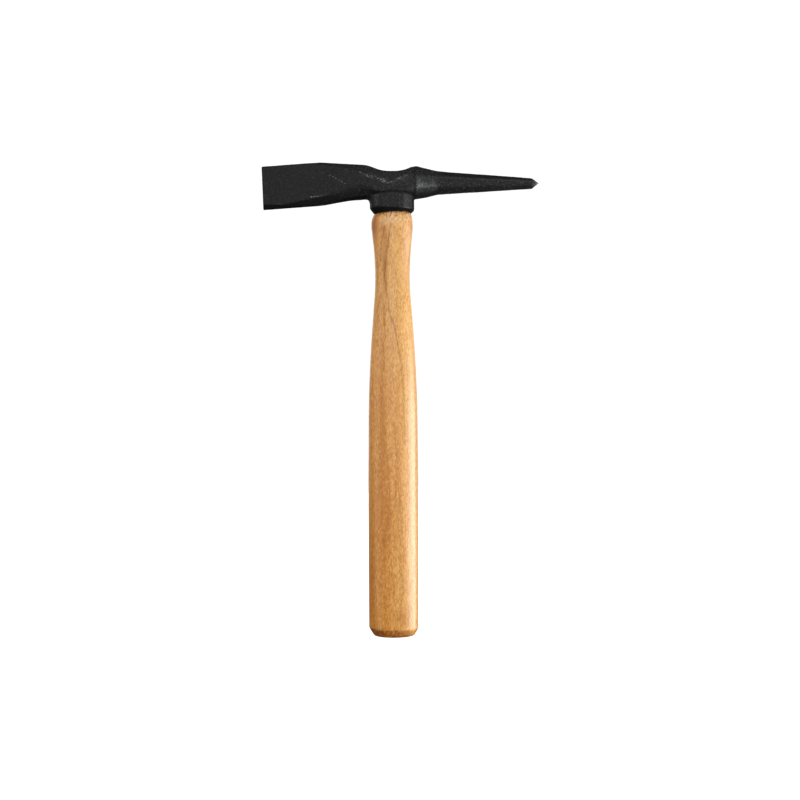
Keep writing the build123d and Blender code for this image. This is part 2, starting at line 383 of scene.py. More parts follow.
def skin(name, rings):
    """A closed mesh through rings of equal length, with a cap of triangles at each end."""
    count = len(rings[0])
    points = [p for ring in rings for p in ring]
    faces = []
    for r in range(len(rings) - 1):
        for k in range(count):
            a, b = r * count + k, r * count + (k + 1) % count
            faces.append((a, b, b + count, a + count))
    for ring_index in (0, len(rings) - 1):
        centre = len(points)
        points.append(tuple(np.mean(rings[ring_index], axis=0)))
        base = ring_index * count
        faces += [(base + k, base + (k + 1) % count, centre) for k in range(count)]
    return make_object(name, points, faces)


def apply_modifiers(piece):
    """Replaces the piece's mesh by the result of its modifiers."""
    depsgraph = bpy.context.evaluated_depsgraph_get()
    mesh = bpy.data.meshes.new_from_object(piece.evaluated_get(depsgraph))
    old = piece.data
    piece.modifiers.clear()
    piece.data = mesh
    bpy.data.meshes.remove(old)


def combine(piece, other, operation):
    """Boolean of the piece with another object, which is used up."""
    modifier = piece.modifiers.new("combine", "BOOLEAN")
    modifier.operation = operation
    modifier.solver = "EXACT"
    modifier.object = other
    apply_modifiers(piece)
    bpy.data.objects.remove(other)


def remesh(piece, voxel):
    """Even quads all over the piece, voxel millimetres wide."""
    modifier = piece.modifiers.new("remesh", "REMESH")
    modifier.mode = "VOXEL"
    modifier.voxel_size = voxel * MM
    apply_modifiers(piece)


def read_points(piece):
    """The piece's points in millimetres."""
    flat = np.empty(len(piece.data.vertices) * 3)
    piece.data.vertices.foreach_get("co", flat)
    return flat.reshape(-1, 3) / MM


def write_points(piece, points):
    """Moves the piece's points to these places in millimetres."""
    piece.data.vertices.foreach_set("co", (points * MM).ravel())
    piece.data.update()


def read_normals(piece):
    """The piece's unit normals, one for each point."""
    flat = np.empty(len(piece.data.vertices) * 3)
    piece.data.vertex_normals.foreach_get("vector", flat)
    return flat.reshape(-1, 3)


def relax(piece, weight, rounds):
    """Moves each point towards the mean of its neighbours by its weight."""
    edges = np.empty(len(piece.data.edges) * 2, int)
    piece.data.edges.foreach_get("vertices", edges)
    a, b = edges.reshape(-1, 2).T
    points = read_points(piece)
    count = np.bincount(np.concatenate([a, b]), minlength=len(points))[:, None]
    for _ in range(rounds):
        total = np.zeros_like(points)
        np.add.at(total, a, points[b])
        np.add.at(total, b, points[a])
        points += (total / np.maximum(count, 1) - points) * weight[:, None]
    write_points(piece, points)


def noise_field(points, size, seed, octaves=2):
    """Smooth noise from about -1 to 1 at each point, with lumps of that size in millimetres."""
    shift = Vector((seed * 17.3, seed * 5.1, seed * 11.7))
    sizes = np.broadcast_to(size, 3)
    return np.array([noise.fractal(Vector(p / sizes) + shift, 1.0, 2.0, octaves) for p in points])


def set_attribute(piece, name, values):
    """Stores one number per point for a material to read."""
    layer = piece.data.attributes.new(name, "FLOAT", "POINT")
    layer.data.foreach_set("value", np.asarray(values, np.float32))


def smooth_step(low, high, values):
    """Rises smoothly from 0 at low to 1 at high, or falls when low is above high."""
    t = np.clip((values - low) / (high - low), 0, 1)
    return t * t * (3 - 2 * t)


def along(keys, xs):
    """A track's values at many x places."""
    grid = np.linspace(EDGE_X, POINT_TIP[0], 800)
    return np.interp(xs, grid, [track(keys, x) for x in grid])


def line_distance(points, path):
    """Distance in the XZ plane from each point to a polyline of (x, z)."""
    best = np.full(len(points), 1e9)
    flat = points[:, [0, 2]]
    for start, end in zip(path[:-1], path[1:]):
        start, step = np.array(start, float), np.array(end, float) - np.array(start, float)
        share = np.clip(((flat - start) @ step) / (step @ step), 0, 1)
        best = np.minimum(best, np.linalg.norm(flat - (start + share[:, None] * step), axis=1))
    return best


def rubbed_marks(points):
    """Where the head's black skin is scuffed, hazy or rubbed bare, and where highlights are
    painted on it, as three sets of shares.
    """
    x, y, z = points.T
    uneven = noise_field(points, 3.0, 11)
    side = smooth_step(4.5, 6.5, abs(y))
    crease = np.exp(-((z - along(UPPER_Z, x) + 0.8 * uneven) / 1.2) ** 2) * side
    saddle = smooth_step(-23, -15, x) * smooth_step(15, 10, x)
    neck = smooth_step(-52, -46, x) * smooth_step(-14, -24, x)
    clumps = 0.55 + 0.45 * smooth_step(-0.25, 0.2, noise_field(points, 3.5, 14))
    scuff_and_painted_highlight = 0.68 * crease * (saddle + 0.3 * neck) * clumps
    haze_and_painted_highlight = 0.6 * np.exp(-((z - along(UPPER_Z, x)) / 3.0) ** 2) * side * saddle
    # Painted highlight along the pick's upper crease.
    arris_highlight = np.exp(-((z - along(UPPER_Z, x) + 0.2) / 0.9) ** 2) * smooth_step(26, 36, x)
    arris_highlight *= abs(y) > 1.2
    haze_and_painted_highlight = np.maximum(haze_and_painted_highlight, arris_highlight)
    # Painted highlights on the collar's cheeks next to its ends.
    rim = chamfer_top(x)
    cheek = smooth_step(rim + 0.4, rim + 1.4, z) * smooth_step(RING_Z - 0.8, RING_Z - 2.2, z)
    cheek *= (abs(x) < 15) * (abs(y) > 4)
    local_weight = 0.05 + 1.7 * np.exp(-((x + 11.3) / 1.4) ** 2) + 1.4 * np.exp(-((x - 9.6) / 1.8) ** 2)
    haze_and_painted_highlight = np.maximum(haze_and_painted_highlight, cheek * local_weight)
    # Painted highlight along the edge between the collar's cheek and its chamfer, on the pick
    # side.
    lip_highlight = np.exp(-((z - rim - 0.1) / 0.5) ** 2) * smooth_step(4, 8, x) * (y < 0)
    scuff_and_painted_highlight = np.maximum(scuff_and_painted_highlight, 0.85 * lip_highlight * smooth_step(13.8, 12, x))
    for path, width, share, pitch in SCRATCHES_AND_PAINTED_HIGHLIGHTS:
        line = np.exp(-(line_distance(points, path) / width) ** 2)
        line *= 0.6 + 0.4 * np.cos(2 * math.pi * (x - path[0][0]) / pitch)
        scuff_and_painted_highlight = np.maximum(scuff_and_painted_highlight, share * line * (y < 0))
    # The pick's flare is rubbed paler, with a painted highlight on its lower flank where it faces
    # the key light; the ground tip is rubbed bare.
    root = smooth_step(16.2, 17.1, x) * smooth_step(33.5, 28, x)
    flank = 1.08 * np.exp(-((z - 312.7) / 3.0) ** 2) + 0.24 * np.exp(-((z - 318.0) / 3.2) ** 2)
    flank *= 0.70 + 0.34 * smooth_step(23.5, 17, x)
    tip = smooth_step(POINT_START + 1.2, POINT_TIP[0] - 0.9, x)
    rub_and_painted_highlight = np.maximum(root * np.minimum(flank, 1.08) * side, 0.85 * tip)
    return scuff_and_painted_highlight, haze_and_painted_highlight, rub_and_painted_highlight


def build_head():
    """The forging: its skin, the eye through it, its relief, its wear, and its painted highlights
    and painted shade.
    """
    head = skin("head_forging", head_rings())
    combine(head, skin("collar", collar_rings()), "UNION")
    combine(head, skin("eye", eye_rings()), "DIFFERENCE")
    remesh(head, HEAD_VOXEL)
    points = read_points(head)
    relax(head, np.full(len(points), 0.4), 2)
    # A small fillet where the neck and the pick run into the ends of the collar.
    for corner_x, reach, rounds in FILLETS:
        fillet = np.exp(-((points[:, 0] - corner_x) / reach) ** 2)
        fillet *= np.exp(-((points[:, 2] - FILLET_Z) / (0.85 * reach)) ** 2)
        relax(head, 0.6 * fillet, rounds)
    points, normals = read_points(head), read_normals(head)
    x, y, z = points.T
    # The eye's wall is left as cut: steep faces near the eye that look towards its axis.
    inside = (x / 14.0) ** 2 + (y / 11.0) ** 2 < 1
    inside &= abs(normals[:, 2]) < 0.5
    inside &= (x * normals[:, 0] + y * normals[:, 1]) < 0
    # Forging scale: broad hollows, smaller lumps and a fine pitted skin.
    relief = 0.07 * noise_field(points, 7.0, 1) + 0.035 * noise_field(points, 2.2, 2)
    relief += 0.018 * (1 + smooth_step(-30, -14, x)) * noise_field(points, 0.9, 3, 1)
    # The groove round the collar's head, between the neck and the pick. It is cut in, and painted
    # shade darkens it.
    groove_and_painted_shade = np.exp(-((z - RING_Z + RING_SAG * x**2) / RING_HALF_WIDTH) ** 2)
    # It keeps to upright faces, but runs on over the boss's sloping flank on the pick's side.
    slope = abs(normals[:, 2]) - 0.45 * smooth_step(4, 9, x)
    groove_and_painted_shade *= smooth_step(0.6, 0.2, slope)
    groove_and_painted_shade *= smooth_step(17.2, 15.8, x) * smooth_step(-16.0, -13.0, x) * ~inside
    relief = np.where(inside, 0.0, relief) - RING_DEPTH * groove_and_painted_shade
    write_points(head, points + normals * relief[:, None])
    scuff_and_painted_highlight, haze_and_painted_highlight, rub_and_painted_highlight = rubbed_marks(points)
    # Painted shade: the collar's chamfer and ends and the undersides are painted dark, and so are
    # the top faces of the pick and the neck.
    rim = chamfer_top(x)
    chamfer = 0.9 * smooth_step(rim + 0.1, rim - 0.9, z)
    ends = 0.85 * smooth_step(12.8, 14.4, x) + 0.25 * smooth_step(-14.3, -15.4, x)
    ends *= (z < RING_Z) * (abs(x) < 16.2)
    neck = smooth_step(-48, -34, x) * smooth_step(-14, -20, x)
    pick = smooth_step(30, 38, x)
    under = (0.5 - 0.35 * neck - 0.4 * pick) * smooth_step(-0.2, -0.55, normals[:, 2])
    under = np.maximum(under, 0.8 * neck * smooth_step(-0.72, -0.95, normals[:, 2]))
    over = (0.45 * pick + 0.22 * neck) * smooth_step(0.3, 0.75, normals[:, 2])
    painted_shade = np.max([chamfer, ends, under, over], axis=0) * ~inside
    # The material reads the painted shade in the groove and the other painted shade from one
    # attribute.
    dark = np.maximum(RING_SHADE * groove_and_painted_shade, painted_shade)
    for name, values in (("scuff_and_painted_highlight", scuff_and_painted_highlight), ("haze_and_painted_highlight", haze_and_painted_highlight), ("rub_and_painted_highlight", rub_and_painted_highlight), ("groove_and_painted_shade", dark)):
        set_attribute(head, name, values)
    shade(head, 50)
    return head


def shade(piece, angle):
    """Smooth shading, kept crisp on edges sharper than the angle in degrees."""
    for polygon in piece.data.polygons:
        polygon.use_smooth = True
    work = bmesh.new()
    work.from_mesh(piece.data)
    for edge in work.edges:
        edge.smooth = len(edge.link_faces) != 2 or edge.calc_face_angle() < math.radians(angle)
    work.to_mesh(piece.data)
    work.free()




def smooth_profile(keys, heights):
    """Half widths at the heights on a smooth curve through the (half width, height) keys."""
    widths, zs = (np.array(v, float) for v in zip(*keys))
    slopes = np.gradient(widths, zs)
    result = []
    for h in heights:
        i = int(np.clip(np.searchsorted(zs, h) - 1, 0, len(zs) - 2))
        span = zs[i + 1] - zs[i]
        t = (h - zs[i]) / span
        result.append((2 * t**3 - 3 * t**2 + 1) * widths[i]
                      + (t**3 - 2 * t**2 + t) * span * slopes[i]
                      + (3 * t**2 - 2 * t**3) * widths[i + 1]
                      + (t**3 - t**2) * span * slopes[i + 1])
    return result


def handle_rings(count=192):
    """Rings of the handle from its butt to the top of its tenon."""
    angles = np.linspace(0, 2 * math.pi, count, endpoint=False)
    butt = rounded([(0, 0), (BUTT_HALF, 0), GRIP[0], (17.24, 9.0)], [0.9, 1.5], 6, 6)
    outline = [tuple(p) for p in butt[2:]]
    heights = np.arange(10.0, COLLAR_FOOT - 0.2, 0.9)
    outline += list(zip(smooth_profile(GRIP, heights), heights))
    outline.append((SHOULDER_HALF, COLLAR_FOOT - 0.05))
    rings = [[(half * math.cos(t), half * GRIP_FLATTENING * math.sin(t), z) for t in angles]
             for half, z in outline]
    tenon = np.linspace(COLLAR_FOOT, TENON_TOP, 30)
    return rings + eye_rings(TENON_GAP, list(tenon), count)


def wedge_prism(name, low, high, centre_x, grow=0.0):
    """A tapered block between two (half x, half y, z) rectangles, each side moved out by grow."""
    rings = []
    for share in np.linspace(0, 1, 24):
        half_x, half_y, z = (a + (b - a) * share for a, b in zip(low, high))
        corner = min(0.25, 0.5 * half_x, 0.5 * half_y)
        outline = rounded_rectangle(half_x + grow, half_y + grow, corner, 4)
        rings.append([(centre_x + x, y, z) for x, y in outline])
    return skin(name, rings)




def raised(section_pair, lift):
    """The same tapered block with its top carried higher, for cutting right through."""
    low, high = section_pair
    slope = [(b - a) / (high[2] - low[2]) for a, b in zip(low[:2], high[:2])]
    return low, (high[0] + slope[0] * lift, high[1] + slope[1] * lift, high[2] + lift)


def cut_for_wedge(piece, block, x):
    """Cuts the slot for a wedge at x out of the piece."""
    low, high = raised(block, CUT_LIFT)
    combine(piece, wedge_prism("cut", low, high, x, WEDGE_GAP), "DIFFERENCE")


def dark_streaks(points):
    """Shares of dark mineral streaks, and of broader brown stain with some painted shade, on the
    handle.
    """
    bent = points.copy()
    bent[:, 0] += 0.5 * noise_field(points, (4.0, 4.0, 16.0), 21)
    bent[:, 0] += 0.4 * noise_field(points, (1.2, 1.2, 2.6), 22)
    front = smooth_step(0.5, -2.0, points[:, 1])
    back = smooth_step(-0.5, 2.0, points[:, 1])
    streak = np.zeros(len(points))
    for side, streaks in ((front, FRONT_STREAKS), (back, BACK_STREAKS)):
        for path, width, share in streaks:
            line = np.exp(-(line_distance(bent, path) / width) ** 2)
            streak = np.maximum(streak, side * share * line)
    stain = np.zeros(len(points))
    for (x, z), (reach_x, reach_z), share in FRONT_STAINS_AND_SHADE:
        away = ((bent[:, 0] - x) / reach_x) ** 2 + ((bent[:, 2] - z) / reach_z) ** 2
        stain = np.maximum(stain, front * share * np.exp(-away))
    return streak, stain




def build_handle():
    """The handle: its relief and wear, the cuts for the wedges, its streaks and stains, and
    painted shade and a painted shadow.
    """
    handle = skin("handle_wood", handle_rings())
    points, normals = read_points(handle), read_normals(handle)
    z = points[:, 2]
    grip = smooth_step(0.3, 3.0, z) * smooth_step(COLLAR_FOOT - 0.3, COLLAR_FOOT - 4, z)
    relief = grip * (0.10 * noise_field(points, (9.0, 9.0, 40.0), 5)
                     + 0.025 * noise_field(points, (1.6, 1.6, 14.0), 6))
    # Torn fibres round the shoulder under the collar, and a hand-worn rim at the butt.
    shoulder = smooth_step(COLLAR_FOOT - 4.5, COLLAR_FOOT - 1.2, z) * (z < COLLAR_FOOT)
    relief += shoulder * 0.34 * noise_field(points, (0.9, 0.9, 2.4), 7)
    rim = smooth_step(0.2, 1.0, z) * smooth_step(8.0, 4.5, z)
    relief += rim * 0.14 * noise_field(points, (1.6, 1.6, 2.0), 8)
    points += normals * relief[:, None]
    local_weight = smooth_step(6.3, 3.6, points[:, 2]) * smooth_step(-5, -13, points[:, 0])
    points[:, 0] += BUTT_WEAR * local_weight
    # The grip leans a little towards the chisel, and comes back to the middle at the eye.
    for shift, low, high in GRIP_LEAN:
        lean = smooth_step(low, high, points[:, 2]) * smooth_step(COLLAR_FOOT, 291, points[:, 2])
        points[:, 0] -= shift * lean
    # The shoulder's top follows the collar's foot.
    reach = smooth_step(290.5, COLLAR_FOOT, points[:, 2])
    reach *= smooth_step(COLLAR_FOOT + 7, COLLAR_FOOT, points[:, 2])
    points[:, 2] += foot_lift(points[:, 0]) * reach
    # The ledge round the eye stays just under the collar's foot, torn fibres included.
    ledge = (points[:, 0] / EYE[0][1]) ** 2 + (points[:, 1] / EYE[0][2]) ** 2 > 1
    ledge &= points[:, 2] < COLLAR_FOOT + 3
    ceiling = COLLAR_FOOT + foot_lift(points[:, 0]) - LEDGE_GAP
    points[:, 2] = np.where(ledge, np.minimum(points[:, 2], ceiling), points[:, 2])
    write_points(handle, points)
    for block, x in ((WOODEN_WEDGE, 0.0), (STEEL_WEDGE, -STEEL_WEDGE_X),
                     (STEEL_WEDGE, STEEL_WEDGE_X)):
        cut_for_wedge(handle, block, x)
    points = read_points(handle)
    streak, stain = dark_streaks(points)
    z = points[:, 2]
    foot = COLLAR_FOOT + foot_lift(points[:, 0])
    # Brown bruises on the butt's rim, and under the collar a painted shadow in ragged dark teeth,
    # with pale fibres between.
    bruise = noise_field(points, (1.2, 1.2, 2.2), 9)
    chisel_side = smooth_step(14.5, 7.0, points[:, 0])
    band = smooth_step(5.9, 4.4, z) * np.clip(0.75 + 0.6 * bruise, 0, 1)
    band *= 0.2 + 0.8 * chisel_side
    rim_line = np.exp(-((z - 5.2) / 0.55) ** 2) * np.clip(0.35 + 1.2 * bruise, 0, 1)
    foot_line = np.exp(-((z - 1.2) / 0.6) ** 2) * np.clip(0.55 + 0.8 * bruise, 0, 1)
    rim_line = np.maximum(rim_line, foot_line) * chisel_side
    bruised = np.exp(-(((points[:, 0] + 9.8) / 3.4) ** 2 + ((z - 4.6) / 2.0) ** 2))
    # Painted shadow under the collar's foot, with ragged teeth, and dark marks on the butt's rim.
    teeth = noise_field(points * (1, 1, 0), 1.3, 12)
    fray_and_painted_shadow = smooth_step(foot - 1.3 - 2.6 * teeth, foot - 0.5 - 1.8 * teeth, z)
    fray_and_painted_shadow = np.maximum(fray_and_painted_shadow, 0.7 * smooth_step(0.2, 0.45, bruise) * smooth_step(289.5, 293.5, z))
    fray_and_painted_shadow[z > foot + 0.3] = 0
    fray_and_painted_shadow = np.maximum(fray_and_painted_shadow, np.maximum(0.8 * rim_line, bruised * np.clip(0.65 + bruise, 0, 1)))
    pale = smooth_step(-0.05, 0.3, noise_field(points, (0.9, 0.9, 1.8), 13))
    pale *= smooth_step(285, 290.5, z) * (z < foot) * smooth_step(-10.5, -7, points[:, 0])
    for name, values in (("streak", streak), ("stain", stain), ("band", band), ("fray_and_painted_shadow", fray_and_painted_shadow),
                         ("pale", pale)):
        set_attribute(handle, name, values)
    shade(handle, 35)
    return handle


def build_wooden_wedge():
    """The wooden wedge, trimmed to the eye and notched for the steel wedges."""
    wedge = wedge_prism("wedge_wood", *WOODEN_WEDGE, 0.0)
    combine(wedge, skin("eye_form", eye_rings(WEDGE_END_GAP)), "INTERSECT")
    for x in (-STEEL_WEDGE_X, STEEL_WEDGE_X):
        cut_for_wedge(wedge, STEEL_WEDGE, x)
    shade(wedge, 35)
    return wedge


def build_steel_wedge(name, x):
    """One of the two steel wedges, at x."""
    wedge = wedge_prism(name, *STEEL_WEDGE, x)
    shade(wedge, 35)
    return wedge


# ---------------------------------------------------------------- materials
class Shader:
    """Short names for building one material's nodes."""

    def __init__(self, name):
        self.material = bpy.data.materials.new(name)
        self.material.use_nodes = True
        self.tree = self.material.node_tree
        self.surface = self.tree.nodes["Principled BSDF"]

    def put(self, socket, value):
        """Links a socket to another, or sets its value."""
        if isinstance(value, bpy.types.NodeSocket):
            self.tree.links.new(value, socket)
        else:
            socket.default_value = value

    def node(self, kind, inputs, **settings):
        """A new node with its inputs put in and its settings made."""
        made = self.tree.nodes.new("ShaderNode" + kind)
        for key, value in settings.items():
            setattr(made, key, value)
        for key, value in inputs.items():
            self.put(made.inputs[key], value)
        return made

    def place(self):
        """Object coordinates, in metres."""
        return self.node("TexCoord", {}).outputs["Object"]

    def stretch(self, place, x, y, z):
        """Coordinates multiplied along each axis."""
        scaled = self.node("VectorMath", {0: place, 1: (x, y, z)}, operation="MULTIPLY")
        return scaled.outputs["Vector"]

    def noise(self, place, scale, detail=3.0, roughness=0.55):
        """Noise around 0.5, finer for a larger scale."""
        inputs = {"Vector": place, "Scale": scale, "Detail": detail, "Roughness": roughness}
        return self.node("TexNoise", inputs).outputs["Fac"]

    def maths(self, operation, a, b=0.0):
        """The result of an operation on one or two numbers."""
        return self.node("Math", {0: a, 1: b}, operation=operation).outputs[0]

    def span(self, value, low, high, to_low=0.0, to_high=1.0):
        """Maps low..high smoothly to to_low..to_high; low may be above high."""
        inputs = {"Value": value, "From Min": low, "From Max": high, "To Min": to_low,
                  "To Max": to_high}
        return self.node("MapRange", inputs, interpolation_type="SMOOTHSTEP").outputs["Result"]

    def mix(self, share, first, second):
        """The first colour, with this share of the second."""
        made = self.node("Mix", {}, data_type="RGBA")
        self.put(made.inputs["Factor"], share)
        self.put(made.inputs[6], first)
        self.put(made.inputs[7], second)
        return made.outputs[2]

    def mix_number(self, share, first, second):
        """The first number, with this share of the second."""
        made = self.node("Mix", {}, data_type="FLOAT")
        self.put(made.inputs["Factor"], share)
        self.put(made.inputs[2], first)
        self.put(made.inputs[3], second)
        return made.outputs[0]

    def attribute(self, name):
        """The number that set_attribute stored under the name."""
        return self.node("Attribute", {}, attribute_name=name).outputs["Fac"]

    def bump(self, height, distance, strength=1.0, below=None):
        """A bumped normal, on top of the one below it."""
        inputs = {"Height": height, "Distance": distance, "Strength": strength}
        if below is not None:
            inputs["Normal"] = below
        return self.node("Bump", inputs).outputs["Normal"]

    def finish(self, **inputs):
        """Puts the surface's inputs in, with _ for a blank in their names."""
        for key, value in inputs.items():
            self.put(self.surface.inputs[key.replace("_", " ")], value)
        return self.material


def colour(r, g, b):
    """An opaque colour for a socket."""
    return (r, g, b, 1.0)


def grey(level):
    """An opaque grey for a socket."""
    return colour(level, level, level)


def head_material():
    """Black scale over forged steel: pitted, hazed, scuffed and rubbed, with painted highlights on
    edges and on the pick's flare, and painted shade in the groove, on the chamfer and on
    undersides.
    """
    s = Shader("blackened_steel")
    place = s.place()
    grain = s.noise(place, 1500, 4, 0.65)
    lumps = s.noise(place, 260, 3)
    tone = s.noise(place, 40, 4)
    across = s.node("SeparateXYZ", {0: place}).outputs["X"]
    base = s.mix(s.span(tone, 0.3, 0.7), colour(0.0045, 0.0046, 0.005), grey(0.0075))
    base = s.mix(s.span(across, -0.08, 0.03, 0.0, 0.5), base, grey(0.008))
    # The blade turns brown towards its edge.
    base = s.mix(s.span(across, -0.060, -0.088, 0.0, 0.9), base, colour(0.006, 0.0038, 0.0028))
    base = s.mix(s.span(grain, 0.4, 0.75), base, grey(0.014))
    # Pale specks and black pits, at half strength on the blade.
    pits = s.noise(place, 900, 4, 0.75)
    coarse = s.span(across, -0.030, -0.012, 0.5, 1.0)
    pale = s.maths("MULTIPLY", coarse, s.span(pits, 0.5, 0.70))
    base = s.mix(pale, base, colour(0.062, 0.0625, 0.063))
    base = s.mix(s.maths("MULTIPLY", coarse, s.span(pits, 0.5, 0.34)), base, grey(0.001))
    # Hazed paint, with painted highlights on the pick's crease and the collar's cheeks.
    haze_and_painted_highlight = s.maths("MULTIPLY", s.attribute("haze_and_painted_highlight"), s.span(s.noise(place, 600, 5, 0.7), 0.35, 0.7))
    base = s.mix(s.maths("MULTIPLY", haze_and_painted_highlight, 0.6), base, grey(0.058))
    # Rubbed steel on the pick's flare and tip, with a painted highlight on the flare.
    rub_and_painted_highlight = s.attribute("rub_and_painted_highlight")
    mottle = s.span(s.noise(place, 700, 5, 0.8), 0.37, 0.67, 0.1, 1.3)
    rubbed = s.maths("MULTIPLY", rub_and_painted_highlight, mottle)
    base = s.mix(s.maths("MULTIPLY", rubbed, 0.75), base, colour(0.22, 0.226, 0.226))
    # Scuffs and scratches, with painted highlights on edges of the blade and the collar.
    scuff_and_painted_highlight = s.attribute("scuff_and_painted_highlight")
    specks = s.span(s.noise(s.stretch(place, 650, 650, 1500), 1.0, 5, 0.8), 0.50, 0.63)
    specks = s.maths("MAXIMUM", specks, s.span(scuff_and_painted_highlight, 0.72, 0.9))
    marks = s.maths("MULTIPLY", s.span(scuff_and_painted_highlight, 0.08, 0.5), specks)
    base = s.mix(s.maths("MULTIPLY", marks, 0.9), base, colour(0.30, 0.30, 0.296))
    # Painted shade: the groove, the collar's chamfer and ends, the undersides and the top faces go
    # nearly black.
    base = s.mix(s.span(s.attribute("groove_and_painted_shade"), 0.0, 0.85), base, grey(0.0008))
    rough = s.span(grain, 0.3, 0.75, 0.52, 0.68)
    rough = s.maths("SUBTRACT", rough, s.maths("MULTIPLY", rubbed, 0.12))
    rough = s.mix_number(s.attribute("groove_and_painted_shade"), rough, 1.0)
    normal = s.bump(lumps, 0.0006, 0.35)
    normal = s.bump(grain, 0.00025, 0.6, normal)
    normal = s.bump(pits, 0.0003, 0.5, normal)
    return s.finish(Base_Color=base, Roughness=rough, Normal=normal, Specular_IOR_Level=0.24)


def wood_nodes(s, place):
    """Base colour and fine fibre of pale straight-grained wood, growing along Z, with painted
    light on the pick side.
    """
    # Growth rings round a pith that lies off to one side, with a slow wander along the grain.
    wander = {"Vector": s.stretch(place, 28, 28, 7), "Scale": 1.0, "Detail": 3.0}
    wander = s.node("TexNoise", wander).outputs["Color"]
    shift = s.node("VectorMath", {0: wander, 1: (0.5, 0.5, 0.5)}, operation="SUBTRACT")
    shift = s.stretch(shift.outputs["Vector"], 0.006, 0.006, 0.0)
    moved = s.node("VectorMath", {0: place, 1: shift}, operation="ADD").outputs["Vector"]
    tilted = s.node("Mapping", {"Vector": moved, "Location": (0.030, -0.055, 0.0),
                                "Rotation": (math.radians(2.4), math.radians(-1.4), 0)})
    flat = s.stretch(tilted.outputs["Vector"], 1, 1, 0)
    radius = s.node("VectorMath", {0: flat}, operation="LENGTH").outputs["Value"]
    rings = s.maths("FRACT", s.maths("MULTIPLY", radius, 380))
    late = s.span(rings, 0.45, 1.0)
    fibre = s.noise(s.stretch(place, 2600, 2600, 55), 1.0, 4, 0.6)
    streak = s.noise(s.stretch(place, 420, 420, 9), 1.0, 3, 0.55)
    tone = s.noise(s.stretch(place, 60, 60, 14), 1.0, 3, 0.5)
    pores = s.noise(s.stretch(place, 2300, 2300, 240), 1.0, 2, 0.5)
    base = s.mix(s.span(tone, 0.3, 0.7), colour(0.76, 0.26, 0.014), colour(0.85, 0.36, 0.045))
    # Towards the head the wood is paler. Towards the pick side it is painted paler still, as
    # painted light where the key light falls.
    height = s.node("SeparateXYZ", {0: place}).outputs["Z"]
    across = s.node("SeparateXYZ", {0: moved}).outputs["X"]
    upper = s.span(height, 0.13, 0.24, 0.0, 0.85)
    upper = s.maths("MULTIPLY", upper, s.span(across, -0.013, -0.004, 0.3, 1.0))
    base = s.mix(upper, base, colour(0.90, 0.46, 0.105))
    # Painted light: paler towards the pick side, where the key light falls.
    base = s.mix(s.span(across, -0.009, 0.011, 0.0, 0.75), base, colour(0.78, 0.44, 0.14))
    base = s.mix(s.maths("MULTIPLY", late, 0.35), base, colour(0.56, 0.20, 0.03))
    base = s.mix(s.span(streak, 0.45, 0.8, 0.0, 0.4), base, colour(0.50, 0.185, 0.03))
    base = s.mix(s.span(fibre, 0.4, 0.8, 0.0, 0.3), base, colour(0.46, 0.165, 0.03))
    fleck = s.noise(s.stretch(place, 800, 800, 190), 1.0, 4, 0.7)
    base = s.mix(s.span(fleck, 0.50, 0.72, 0.0, 0.5), base, colour(0.46, 0.16, 0.02))
    base = s.mix(s.span(fleck, 0.48, 0.3, 0.0, 0.45), base, colour(0.92, 0.52, 0.18))
    figure = s.noise(s.stretch(place, 1250, 1250, 420), 1.0, 3, 0.7)
    base = s.mix(s.span(figure, 0.50, 0.70, 0.0, 0.78), base, colour(0.44, 0.15, 0.012))
    base = s.mix(s.span(figure, 0.50, 0.30, 0.0, 0.7), base, colour(0.96, 0.60, 0.22))
    base = s.mix(s.span(pores, 0.66, 0.72, 0.0, 0.45), base, colour(0.26, 0.10, 0.028))
    return base, fibre


def wood_material():
    """The handle's wood under a lacquer coat, with its streaks, stains, bruises and fibres,
    painted shade on the pick side and a painted shadow under the collar.
    """
    s = Shader("lacquered_hickory")
    place = s.place()
    base, fibre = wood_nodes(s, place)
    broken = s.span(s.noise(s.stretch(place, 900, 900, 160), 1.0, 4, 0.7), 0.35, 0.6)
    # Stains, with painted shade on the pick side of the shoulder and the waist.
    base = s.mix(s.maths("MULTIPLY", s.attribute("stain"), 0.8), base, colour(0.46, 0.14, 0.004))
    streak = s.maths("MULTIPLY", s.attribute("streak"), s.span(broken, 0.0, 1.0, 0.3, 1.0))
    base = s.mix(s.maths("MULTIPLY", streak, 0.95), base, colour(0.31, 0.08, 0.001))
    pale = s.maths("MULTIPLY", s.attribute("pale"), 0.8)
    base = s.mix(pale, base, colour(0.88, 0.58, 0.33))
    band = s.maths("MULTIPLY", s.attribute("band"), 0.85)
    base = s.mix(band, base, colour(0.34, 0.08, 0.010))
    # Painted shadow under the collar's foot, and dark marks on the butt.
    base = s.mix(s.maths("MULTIPLY", s.attribute("fray_and_painted_shadow"), 0.9), base, colour(0.10, 0.035, 0.01))
    rough = s.span(fibre, 0.3, 0.7, 0.34, 0.46)
    normal = s.bump(fibre, 0.00012, 0.25)
    normal = s.bump(broken, 0.0002, 0.1, normal)
    return s.finish(Base_Color=base, Roughness=rough, Normal=normal, Specular_IOR_Level=0.15,
                    Coat_Weight=0.95, Coat_Roughness=0.3, Coat_Normal=normal)


def wedge_wood_material():
    """Darker, unlacquered wood."""
    s = Shader("beech_wedge")
    base, fibre = wood_nodes(s, s.place())
    base = s.mix(s.span(fibre, 0.3, 0.7, 0.5, 0.8), base, colour(0.27, 0.10, 0.026))
    return s.finish(Base_Color=base, Roughness=s.span(fibre, 0.3, 0.7, 0.5, 0.7),
                    Normal=s.bump(fibre, 0.0002, 0.4))


